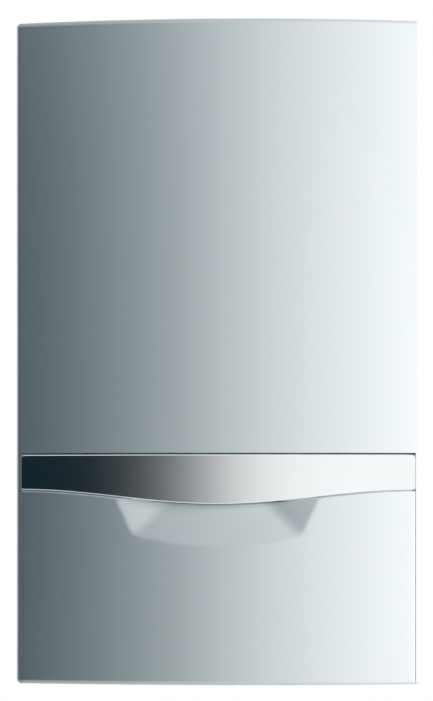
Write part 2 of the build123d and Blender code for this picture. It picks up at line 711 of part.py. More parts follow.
def drum_brackets():
    """Two folded steel rails between the side panels that carry the drum."""
    reach = half_width - sheet
    rails = []
    for h in (370.0, 510.0):
        rail = block(-reach, reach, drum_rear, drum_rear + 2, h - 14, h + 14)
        rail += block(-reach, reach, drum_rear, drum_rear + 8, h + 12, h + 14)
        for x in (-reach, reach - 2):
            rail += block(x, x + 2, drum_rear, drum_rear + 22, h - 14, h + 14)
        rails.append(rail)
    return Compound(rails)


def pump_housing():
    """The pump's volute with its inlet below, its outlet above and a boss for the air vent."""
    body = rod(at(heating_x, pump_rear, pump_h), FORWARD, pump_radius, pump_rear - pump_front)
    body -= rod(at(heating_x, pump_rear - 6, pump_h), FORWARD, pump_radius - 8, pump_rear - pump_front)
    middle = (pump_rear + pump_front) / 2
    body += rod(at(heating_x, middle, pump_h + pump_radius - 5), UP, 15, 14)
    inlet = rod(at(heating_x, stub_y, pump_h - pump_radius - 22), UP, 17, 24)
    body += inlet & block(80, 190, pump_front, pump_rear, 0, 200)
    body += rod(at(heating_x - pump_radius + 9, middle, pump_h + 29), UP, 11, 29)
    body += rod(at(exchanger_half, middle, exchanger_low + 16), RIGHT, 9, 12)
    return body + rod(at(heating_x + pump_radius - 5, middle, pump_h), RIGHT, 10, 15)


def pump_impeller():
    """The pump's closed wheel with six vanes on its shaft."""
    rear = pump_rear - 10
    body = rod(at(heating_x, rear - 14, pump_h), FORWARD, 33, 2.5) + ring(at(heating_x, rear, pump_h), FORWARD, 33, 14, 2)
    body += rod(at(heating_x, rear - 4, pump_h), FORWARD, 7, 12)
    axis = Axis((heating_x, 0, pump_h - bracket_height), BACKWARD)
    for turn in range(6):
        vane = block(heating_x + 11, heating_x + 32, rear - 15, rear - 1, pump_h - 1, pump_h + 1)
        body += vane.rotate(axis, 60 * turn)
    return body + rod(at(heating_x, rear - 16, pump_h), FORWARD, 4.0, 38)


def pump_motor():
    """The pump's motor with cooling ribs, a terminal box and a bleed screw."""
    body = rod(at(heating_x, pump_front, pump_h), FORWARD, pump_radius - 1, 6)
    body += rod(at(heating_x, pump_front, pump_h), FORWARD, 36, pump_front - motor_front)
    for turn in range(14):
        angle = -60 + turn * 300 / 13
        rib = block(heating_x + 34, heating_x + 40, motor_front + 6, pump_front, pump_h - 1.2, pump_h + 1.2)
        body += rib.rotate(Axis((heating_x, 0, pump_h - bracket_height), BACKWARD), angle)
    body += block(heating_x - 30, heating_x + 30, motor_front + 4, pump_front - 8, pump_h - 58, pump_h - 28)
    body += rod(at(heating_x, motor_front, pump_h), FORWARD, 8, 3)
    return body - rod(at(heating_x, pump_front + 1, pump_h), FORWARD, 4.0 + running_gap, 40)


def air_vent():
    """The automatic air vent on the pump's boss."""
    x, y, low = heating_x - pump_radius + 9, (pump_rear + pump_front) / 2, pump_h + 58
    body = rod(at(x, y, low), UP, 9, 8) + rod(at(x, y, low + 8), UP, 17, 38) + cone(at(x, y, low + 46), UP, 17, 9, 6)
    return body + rod(at(x, y, low + 52), UP, 5, 9) + rod(at(x, y, low + 56), UP, 6.5, 4)


def safety_valve():
    """The 3 bar safety valve with its turn knob in front and the outlet below."""
    x, y = heating_x + pump_radius + 22, (pump_rear + pump_front) / 2
    body = round_block(x - 12, x + 12, y - 12, y + 12, pump_h - 13, pump_h + 13, 4, Axis.Z)
    body += rod(at(x, y - 12, pump_h), FORWARD, 10, 8) + rod(at(x, y, pump_h - 30), UP, 8, 18)
    knob = rod(at(x, y - 20, pump_h), FORWARD, 14, 12)
    for turn in range(8):
        angle = math.radians(45 * turn)
        knob -= rod(at(x + 15 * math.cos(angle), y - 19, pump_h + 15 * math.sin(angle)), FORWARD, 3, 14)
    return body + knob


def diverter_block():
    """The diverter valve's body with ports to the connection, the exchanger and the drum."""
    body = round_block(-152, -94, -150, -98, 62, 138, 8, Axis.Y)
    body += rod(at(-heating_x, stub_y, 50), UP, 17, 14) + rod(at(-104, -134, 136), UP, 14, 10)
    for h in (exchanger_low + 14, exchanger_low + 34):
        body += rod(at(-96, stub_y, h), RIGHT, 8, 96 - exchanger_half)
    body += hexagon(at(-123, -150, 100), FORWARD, 34, 7)
    return body + rod(at(-138, stub_y, 136), UP, 11, 8)


def diverter_motor():
    """The stepper drive that shifts the diverter valve."""
    body = round_block(-166, -122, stub_y - 21, stub_y + 21, 148, 190, 6, Axis.Z)
    body += rod(at(-138, stub_y, 144), UP, 15, 6)
    return body + block(-160, -144, stub_y - 29, stub_y - 20, 160, 178)


def plate_exchanger():
    """The brazed stack of pressed plates for hot water."""
    plates = 10
    pitch = (exchanger_rear - exchanger_front - 2) / (plates - 1)
    inset, half, low, high = 3.0, exchanger_half, exchanger_low, exchanger_high
    body = block(inset - half, half - inset, exchanger_front + 1, exchanger_rear - 1, low + inset, high - inset)
    body = chamfer(body.edges().filter_by(Axis.Y), 12)
    for step in range(plates):
        y = exchanger_front + step * pitch
        plate = block(-half, half, y, y + 2, low, high)
        body += chamfer(plate.edges().filter_by(Axis.Y), 14)
    return body


def heating_pipes():
    """Copper flow pipe from the drum to the diverter valve, and return pipe from the pump to the drum."""
    pump_y, pump_top = (pump_rear + pump_front) / 2, pump_h + pump_radius + 9
    flow = [at(-port_x, port_y, port_low), at(-port_x, port_y, 236), at(-104, -134, 206), at(-104, -134, 146)]
    back = [at(port_x, port_y, port_low), at(port_x, port_y, 292), at(heating_x, pump_y, 262)]
    back.append(at(heating_x, pump_y, pump_top))
    pipes = []
    for route in (flow, back):
        top_nut = hexagon(route[0] - Vector(0, 0, 16), UP, 30, 16)
        pipes.append(pipe(route, 9, 14) + top_nut + hexagon(route[-1], UP, 28, 14))
    return Compound(pipes)


def heating_stubs():
    """The two 22 mm heating connections under the casing."""
    stubs = []
    for x, top in ((-heating_x, 50.0), (heating_x, pump_h - pump_radius - 22)):
        body = ring(at(x, stub_y, stub_low), UP, heating_radius, heating_radius - 1, top - stub_low)
        body += ring(at(x, stub_y, top - 9), UP, 15, heating_radius - 1, 9)
        stubs.append(body - groove(x, stub_y, heating_radius))
    return Compound(stubs)


def water_pipes():
    """The 15 mm hot and cold water connections; the cold one carries the flow sensor."""
    hot = rod(at(-water_x, stub_y, stub_low), UP, water_radius, exchanger_low - stub_low)
    hot += hexagon(at(-water_x, stub_y, exchanger_low - 14), UP, 22, 14)
    cold = rod(at(water_x, stub_y, stub_low), UP, water_radius, exchanger_low - stub_low)
    cold += hexagon(at(water_x, stub_y, exchanger_low - 14), UP, 22, 14) + rod(at(water_x, stub_y, 44), UP, 13, 30)
    cold += block(water_x - 8, water_x + 8, stub_y - 22, stub_y - 8, 50, 68)
    pipes = []
    for x, body in ((-water_x, hot), (water_x, cold)):
        body -= rod(at(x, stub_y, stub_low - 1), UP, water_radius - 1, 24)
        pipes.append(body - groove(x, stub_y, water_radius))
    return Compound(pipes)


def condensate_trap():
    """The siphon: a ribbed cap, a clear cup and the drain pipe through the base."""
    body = rod(at(trap_x, trap_y, trap_high - 16), UP, trap_radius + 2, 12) + rod(at(trap_x, trap_y, trap_low + 8), UP, trap_radius, 62)
    body += cone(at(trap_x, trap_y, trap_low), UP, 12, trap_radius, 8)
    body += rod(at(trap_x, trap_y, trap_high - 6), UP, 9, 14)
    drain = rod(at(trap_x, trap_y, stub_low), UP, 9, trap_low - stub_low + 2)
    drain -= rod(at(trap_x, trap_y, stub_low - 1), UP, 7.5, 24)
    return body + drain - groove(trap_x, trap_y, 9)


def condensate_hose():
    """The hose from the drum's spout to the trap, falling all the way."""
    top = trap_high + 8
    route = [
        at(0, spout_y, spout_low + 2),
        at(0, spout_y, top + 26),
        at(trap_x, trap_y, top + 14),
        at(trap_x, trap_y, top),
    ]
    body = pipe(route, 7, 11)
    return body + rod(at(0, spout_y, spout_low - 10), UP, 10, 12)


# Controls


def control_box():
    """The electronics housing: a moulded tray with ribs behind and cable glands below."""
    body = block(-box_half, box_half, -box_front, -box_rear, box_low, box_high)
    body -= block(2.5 - box_half, box_half - 2.5, -box_front - 1, -box_rear - 2.5, box_low + 2.5, box_high - 2.5)
    for x in (-150, -75, 0, 75, 150):
        body += block(x - 1.2, x + 1.2, -box_rear - 0.5, 4 - box_rear, box_low + 6, box_high - 6)
    for x in (-120, -90, 100):
        body += ring(at(x, -box_rear - 22, box_low - 8), UP, 8, 5, 9)
        body -= rod(at(x, -box_rear - 22, box_low - 1), UP, 5, 6)
    for x in (-140, 140):
        for h in (70, 160):
            body += rod(at(x, -box_rear - 2, h), FORWARD, 4, 32)
    for h in (60, 150):
        ear = block(box_half - 1, half_width - ledge_width + 1.5, -side_depth - sheet, -side_depth, h, h + 20)
        body += both_sides(ear)
    return body


def control_panel():
    """The front moulding with a raised face and openings for display, gauge and buttons."""
    raised = round_block(-panel_half, panel_half, -panel_front, panel_wall - panel_front, panel_low, panel_high, 4, Axis.Y)
    flange = block(-box_half, box_half, -box_front - 3, -box_front, box_low, box_high)
    flange -= block(8 - panel_half, panel_half - 8, -box_front - 4, 1 - box_front, panel_low + 6, panel_high - 6)
    body = raised + flange
    body -= rod(at(gauge_x, 1 - box_front, controls_h), FORWARD, gauge_radius + 0.3, 12)
    for x in (minus_x, plus_x, reset_x):
        body -= rod(at(x, 1 - box_front, controls_h), FORWARD, button_size(x) + 0.3, 12)
    low, high = controls_h - display_height / 2, controls_h + display_height / 2
    left, right = display_x - display_width / 2, display_x + display_width / 2
    body -= block(left, right, -panel_front - 1, 1 - box_front, low, high)
    for x in (keypad_left + 4, keypad_right - 4):
        for h in (controls_h - 16, controls_h + 16):
            body += rod(at(x, keypad_rear - panel_front, h), FORWARD, 2.5, keypad_rear - panel_wall + 0.1)
    return body


def button_size(x):
    """The reset button is the smaller one."""
    return button_radius - 2 if x == reset_x else button_radius


def button(x):
    """A round push button with a dished face and a retaining collar behind the panel."""
    radius = button_size(x)
    face = panel_front + button_proud
    body = rod(at(x, -panel_front + panel_wall + 0.8, controls_h), FORWARD, radius, face - panel_front + panel_wall + 0.8)
    body += rod(at(x, 2.2 - panel_front + panel_wall, controls_h), FORWARD, radius + 1.6, 2)
    return body - cone(at(x, -face - 0.01, controls_h), BACKWARD, radius - 1.6, radius - 2.6, 0.8)


def display():
    """The display window: a clear plate in a shallow frame with its screen behind."""
    left, right = display_x - display_width / 2, display_x + display_width / 2
    low, high = controls_h - display_height / 2, controls_h + display_height / 2
    body = block(left, right, 0.6 - panel_front, 3 - panel_front, low, high)
    return body + block(left + 3, right - 3, 2.9 - panel_front, 9 - panel_front, low + 3, high - 3)


def circuit_boards():
    """The small board with a switch behind each button, and the main board with its blocks."""
    y = keypad_rear - panel_front
    keypad = block(keypad_left, keypad_right, y, y + 1.6, controls_h - 20, controls_h + 20)
    for x in (minus_x, plus_x, reset_x):
        keypad += block(x - 3, x + 3, y - 1.5, y, controls_h - 3, controls_h + 3)
    face = -box_rear - 35.6
    body = block(-160, 160, face, face + 1.6, 50, 182)
    body += block(-146, -110, face - 20, face, 62, 90)  # mains filter
    for x in (-90, -66, -42):
        body += block(x - 8, x + 8, face - 15, face, 66, 94)  # relays
    for x in range(-10, 130, 28):
        body += block(x - 11, x + 11, face - 10, face, 54, 64)  # plug sockets
    body += block(60, 96, face - 4, face, 116, 152)  # processor
    return Compound([keypad, body])


def gauge_case():
    """The pressure gauge's body with its dial face sunk behind the glass."""
    body = rod(at(gauge_x, -264, controls_h), FORWARD, gauge_radius, 28.5)
    body -= rod(at(gauge_x, -284, controls_h), FORWARD, gauge_radius - 2, 10)
    body += rod(at(gauge_x, -283, controls_h), FORWARD, 0.9, 4.4)
    body += ring(at(gauge_x, panel_wall - panel_front, controls_h), BACKWARD, gauge_radius + 3, gauge_radius - 1, 2)
    return body + rod(at(gauge_x, -265, controls_h), BACKWARD, 6, 10)


def gauge_needle():
    """The pointer on its pivot."""
    y = -286.6
    body = rod(at(gauge_x, y + 0.8, controls_h), FORWARD, 3.0, 0.8)
    arm = [(-1.1, -6), (1.1, -6), (0.35, 18), (-0.35, 18)]
    outline = make_face(Polyline(*[at(gauge_x + x, y + 0.8, controls_h + h) for x, h in arm], close=True))
    body += extrude(outline, 0.8, dir=FORWARD)
    return body - rod(at(gauge_x, y + 2, controls_h), FORWARD, 0.9 + running_gap, 4)


def gauge_glass():
    return rod(at(gauge_x, -289.4, controls_h), FORWARD, gauge_radius - 2.1, 1.4)


PARTS = {
    "wall_bracket": wall_bracket,
    "back_frame": back_frame,
    "right_side_panel": side_panel,
    "left_side_panel": lambda: mirror(side_panel(), about=Plane.YZ),
    "top_plate": top_plate,
    "base_plate": base_plate,
    "pipe_grommets": pipe_grommets,
    "locating_studs": locating_studs,
    "cover_seal": cover_seal,
    "case_screws": case_screws,
    "front_cover": front_cover,
    "flap": flap,
    "trim_band": trim_band,
    "hinge_pins": hinge_pins,
    "flap_magnets": flap_magnets,
    "flue_adapter": flue_adapter,
    "flue_seal": flue_seal,
    "test_point_caps": test_point_caps,
    "flue_riser": flue_riser,
    "heat_exchanger": heat_exchanger,
    "burner_door": burner_door,
    "door_gasket": door_gasket,
    "burner_tube": burner_tube,
    "door_nuts": door_nuts,
    "ignition_electrode": ignition_electrode,
    "sight_glass": sight_glass,
    "fan_housing": fan_housing,
    "fan_impeller": fan_impeller,
    "fan_motor": fan_motor,
    "venturi": venturi,
    "air_intake_duct": air_intake_duct,
    "mixing_duct": mixing_duct,
    "gas_valve": gas_valve,
    "gas_valve_coils": gas_valve_coils,
    "gas_pipe": gas_pipe,
    "drum_brackets": drum_brackets,
    "expansion_vessel": expansion_vessel,
    "pump_housing": pump_housing,
    "pump_impeller": pump_impeller,
    "pump_motor": pump_motor,
    "air_vent": air_vent,
    "safety_valve": safety_valve,
    "diverter_block": diverter_block,
    "diverter_motor": diverter_motor,
    "plate_exchanger": plate_exchanger,
    "heating_pipes": heating_pipes,
    "heating_stubs": heating_stubs,
    "water_pipes": water_pipes,
    "condensate_trap": condensate_trap,
    "condensate_hose": condensate_hose,
    "control_box": control_box,
    "control_panel": control_panel,
    "display": display,
    "circuit_boards": circuit_boards,
    "gauge_case": gauge_case,
    "gauge_needle": gauge_needle,
    "gauge_glass": gauge_glass,
    "minus_button": lambda: button(minus_x),
    "plus_button": lambda: button(plus_x),
    "reset_button": lambda: button(reset_x),
}


def main():
    os.makedirs("parts", exist_ok=True)
    for name, make in PARTS.items():
        export_step(make(), f"parts/{name}.step")


if __name__ == "__main__":
    main()
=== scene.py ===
import json
import math

import bmesh
import bpy
import numpy as np
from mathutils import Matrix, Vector

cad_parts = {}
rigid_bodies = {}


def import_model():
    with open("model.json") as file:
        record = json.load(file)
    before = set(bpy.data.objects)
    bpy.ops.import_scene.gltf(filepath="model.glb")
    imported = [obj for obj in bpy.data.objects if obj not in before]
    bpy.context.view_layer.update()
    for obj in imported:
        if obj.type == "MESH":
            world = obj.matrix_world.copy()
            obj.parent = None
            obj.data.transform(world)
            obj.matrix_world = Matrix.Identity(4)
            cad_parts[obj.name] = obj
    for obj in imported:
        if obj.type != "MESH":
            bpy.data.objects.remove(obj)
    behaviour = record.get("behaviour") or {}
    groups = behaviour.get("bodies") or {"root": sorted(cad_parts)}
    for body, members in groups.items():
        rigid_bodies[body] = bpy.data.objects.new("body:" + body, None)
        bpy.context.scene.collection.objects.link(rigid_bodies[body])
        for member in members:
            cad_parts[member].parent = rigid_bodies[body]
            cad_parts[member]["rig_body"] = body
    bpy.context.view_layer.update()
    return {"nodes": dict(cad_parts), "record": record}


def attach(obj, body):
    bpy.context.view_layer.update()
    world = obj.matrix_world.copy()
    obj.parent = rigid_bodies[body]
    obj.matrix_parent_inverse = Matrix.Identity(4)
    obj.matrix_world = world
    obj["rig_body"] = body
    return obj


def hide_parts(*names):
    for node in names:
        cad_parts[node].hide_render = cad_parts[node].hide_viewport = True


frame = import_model()

# A wall-hung boiler. Metres, X to the right seen from the front, Y towards the wall, Z up,
# origin between the two holes of the wall bracket.

# Sizes of the casing
CASE_BOTTOM = -0.658
CASE_HEIGHT = 0.720
CASE_DEPTH = 0.338
HALF_WIDTH = 0.220
BULGE = 0.028
FRONT_RADIUS = (HALF_WIDTH**2 + BULGE**2) / (2 * BULGE)
ARC_CENTRE_Y = FRONT_RADIUS - CASE_DEPTH

# Flap and trim band; heights here are above the casing's lower edge
FLAP_HALF = 0.2142
FLAP_REAR = -0.300
FLAP_WALL = 0.0025
FLAP_TOP = 0.2497
BAND_ENDS = 0.211
BAND_SAG = 0.0153
BAND_WALL = 0.003
EDGE_RADIUS = 0.005
SEAT = 0.0031
STEP_GAP = 0.0010
STEP_ROLL = 0.0016  # radius of the step's edge
UPRIGHT_START, UPRIGHT_RADIUS = 0.2132, 0.001  # rounding of the flap's upright edges
HELD_BACK = 9.0  # an offset that the flap's rear edge cuts short
BAND_CORNER_START, BAND_CORNER = 0.2112, 0.003
BAND_UNDER, BAND_OVER = 0.0013, 0.0011  # radii of the band's lower and upper edge
BAND_LIP, LIP_FADE = 0.0036, 0.004

# Finger grip
GRIP_LOW = 0.149
GRIP_TOP = 0.222
GRIP_HALF = 0.057
GRIP_SLOPE = 0.21
GRIP_FOOT_CURVE = 1.45
GRIP_EDGE, GRIP_EDGE_HEIGHT = 0.1105, 0.202
GRIP_TAPER = 0.47
GRIP_FLANK = 0.17
GRIP_CREASE, GRIP_BORDER = 0.0012, 0.0005  # fillets inside the grip and round it
ROOM_LOW, ROOM_SLOPE, ROOM_DEPTH = 0.1975, 1.3, 0.016  # the fingertips' room behind the band
ROOM_HALF, ROOM_FADE = 0.075, 0.018

# Hinge of the flap
PIN_Y, PIN_HEIGHT = -0.304, 0.010
EARS = (0.1855, 0.192)
LUGS = (0.192, 0.199)
NOTCH_FRONT = -0.313
LUG_RADIUS, LUG_BORE, LUG_BEVEL, LUG_SETBACK = 0.007, 0.00306, 0.0004, 0.0012
LEAST_TURN = 0.02  # keeps a division by a sine or cosine finite

# Paint and light colours
WHITE = (0.80, 0.84, 0.86)
SILVER = (0.925, 0.955, 0.965)
SHADE_BLUE = (0.0, 0.010, 0.016)


def front_y(x):
    """The bowed front's Y: an upright circular arc across the width."""
    return ARC_CENTRE_Y - np.sqrt(FRONT_RADIUS**2 - x**2)


def band_low(x):
    """Height of the band's lower edge: level at the ends, with a raised cosine's sag between."""
    return BAND_ENDS - BAND_SAG * (1 + np.cos(np.pi * x / FLAP_HALF)) / 2


# Node groups


def group(name, inputs, outputs):
    """A shader node group with float inputs and the outputs named as (name, socket type)."""
    tree = bpy.data.node_groups.new(name, "ShaderNodeTree")
    for label, value in inputs.items():
        socket = tree.interface.new_socket(label, in_out="INPUT", socket_type="NodeSocketFloat")
        socket.default_value = value
    for label, kind in outputs:
        tree.interface.new_socket(label, in_out="OUTPUT", socket_type=kind)
    return tree, tree.nodes.new("NodeGroupInput"), tree.nodes.new("NodeGroupOutput")


def noise(tree, coords, scale, detail):
    """Noise at the coordinates, with its scale taken from a socket."""
    node = tree.nodes.new("ShaderNodeTexNoise")
    node.inputs["Detail"].default_value = detail
    tree.links.new(coords, node.inputs["Vector"])
    tree.links.new(scale, node.inputs["Scale"])
    return node.outputs["Fac"]


def math_node(tree, operation, a, b):
    """A sum, product or other operation on two sockets or plain numbers."""
    node = tree.nodes.new("ShaderNodeMath")
    node.operation = operation
    for socket, value in zip(node.inputs, (a, b)):
        if isinstance(value, (int, float)):
            socket.default_value = value
        else:
            tree.links.new(value, socket)
    return node.outputs[0]


def varied_roughness(tree, start, wave):
    """A group's roughness, swung about its mean by a noise."""
    centred = math_node(tree, "SUBTRACT", wave, 0.5)
    swing = math_node(tree, "MULTIPLY", centred, start.outputs["Variation"])
    return math_node(tree, "ADD", start.outputs["Roughness"], swing)


def grain_group():
    """Fine surface grain: a height from two noises and a roughness that varies around a mean."""
    tree, start, end = group(
        "Surface grain",
        {"Grain size": 900.0, "Patch size": 14.0, "Roughness": 0.4, "Variation": 0.1},
        [("Height", "NodeSocketFloat"), ("Roughness", "NodeSocketFloat")],
    )
    coords = tree.nodes.new("ShaderNodeTexCoord").outputs["Object"]
    fine = noise(tree, coords, start.outputs["Grain size"], 2.0)
    broad = noise(tree, coords, start.outputs["Patch size"], 4.0)
    tree.links.new(fine, end.inputs["Height"])
    tree.links.new(varied_roughness(tree, start, broad), end.inputs["Roughness"])
    return tree


def brushed_group():
    """Rolling or drawing lines along one axis, as a height and a roughness."""
    tree, start, end = group(
        "Drawn lines",
        {
            "Line size": 700.0, "Roughness": 0.35, "Variation": 0.15,
            "Stretch X": 1.0, "Stretch Y": 1.0, "Stretch Z": 0.02,
        },
        [("Height", "NodeSocketFloat"), ("Roughness", "NodeSocketFloat")],
    )
    coords = tree.nodes.new("ShaderNodeTexCoord").outputs["Object"]
    axes = tree.nodes.new("ShaderNodeCombineXYZ")
    for axis in "XYZ":
        tree.links.new(start.outputs[f"Stretch {axis}"], axes.inputs[axis])
    mapping = tree.nodes.new("ShaderNodeMapping")
    tree.links.new(coords, mapping.inputs["Vector"])
    tree.links.new(axes.outputs[0], mapping.inputs["Scale"])
    lines = noise(tree, mapping.outputs["Vector"], start.outputs["Line size"], 3.0)
    tree.links.new(lines, end.inputs["Height"])
    tree.links.new(varied_roughness(tree, start, lines), end.inputs["Roughness"])
    return tree


def tone_group():
    """A colour that drifts between a clean and an aged tone in soft patches."""
    tree = bpy.data.node_groups.new("Aged tone", "ShaderNodeTree")
    for label in ("Clean", "Aged"):
        tree.interface.new_socket(label, in_out="INPUT", socket_type="NodeSocketColor")
    for label, value in (("Patch size", 20.0), ("Amount", 0.4)):
        socket = tree.interface.new_socket(label, in_out="INPUT", socket_type="NodeSocketFloat")
        socket.default_value = value
    tree.interface.new_socket("Color", in_out="OUTPUT", socket_type="NodeSocketColor")
    start, end = tree.nodes.new("NodeGroupInput"), tree.nodes.new("NodeGroupOutput")
    coords = tree.nodes.new("ShaderNodeTexCoord").outputs["Object"]
    patches = noise(tree, coords, start.outputs["Patch size"], 6.0)
    ramp = tree.nodes.new("ShaderNodeMapRange")
    ramp.inputs["From Min"].default_value, ramp.inputs["From Max"].default_value = 0.35, 0.7
    tree.links.new(patches, ramp.inputs["Value"])
    mix = tree.nodes.new("ShaderNodeMix")
    mix.data_type = "RGBA"
    share = math_node(tree, "MULTIPLY", ramp.outputs["Result"], start.outputs["Amount"])
    tree.links.new(share, mix.inputs["Factor"])
    tree.links.new(start.outputs["Clean"], mix.inputs["A"])
    tree.links.new(start.outputs["Aged"], mix.inputs["B"])
    tree.links.new(mix.outputs["Result"], end.inputs["Color"])
    return tree


GRAIN, LINES, TONE = grain_group(), brushed_group(), tone_group()


# Materials


def use_group(tree, which, **values):
    node = tree.nodes.new("ShaderNodeGroup")
    node.node_tree = which
    for label, value in values.items():
        node.inputs[label.replace("_", " ")].default_value = value
    return node


DRAWN_STRETCH = 0.02  # scale of the noise along drawn or rolled lines
RELIEF = 0.0004  # height of the grain at full strength


def finish_of(name, base, aged, roughness, metallic=0.0, bump=0.05, grain=900.0,
              variation=0.1, lines=None, patch=18.0, amount=0.35, **sockets):
    """A surface whose tone, roughness and grain all vary; lines names the axis of drawn lines."""
    material = bpy.data.materials.new(name)
    material.use_nodes = True
    tree = material.node_tree
    shader = tree.nodes["Principled BSDF"]
    tones = {"Clean": (*base, 1), "Aged": (*aged, 1)}
    tone = use_group(tree, TONE, **tones, Patch_size=patch, Amount=amount)
    tree.links.new(tone.outputs["Color"], shader.inputs["Base Color"])
    if lines:
        size = {f"Stretch_{axis}": DRAWN_STRETCH if axis == lines else 1.0 for axis in "XYZ"}
        size["Line_size"] = grain
    else:
        size = {"Grain_size": grain}
    which = LINES if lines else GRAIN
    texture = use_group(tree, which, Roughness=roughness, Variation=variation, **size)
    tree.links.new(texture.outputs["Roughness"], shader.inputs["Roughness"])
    relief = tree.nodes.new("ShaderNodeBump")
    relief.inputs["Strength"].default_value = bump
    relief.inputs["Distance"].default_value = RELIEF
    tree.links.new(texture.outputs["Height"], relief.inputs["Height"])
    tree.links.new(relief.outputs["Normal"], shader.inputs["Normal"])
    shader.inputs["Metallic"].default_value = metallic
    for label, value in sockets.items():
        shader.inputs[label.replace("_", " ")].default_value = value
    return material


def darker(colour, factor):
    return tuple(c * factor for c in colour)


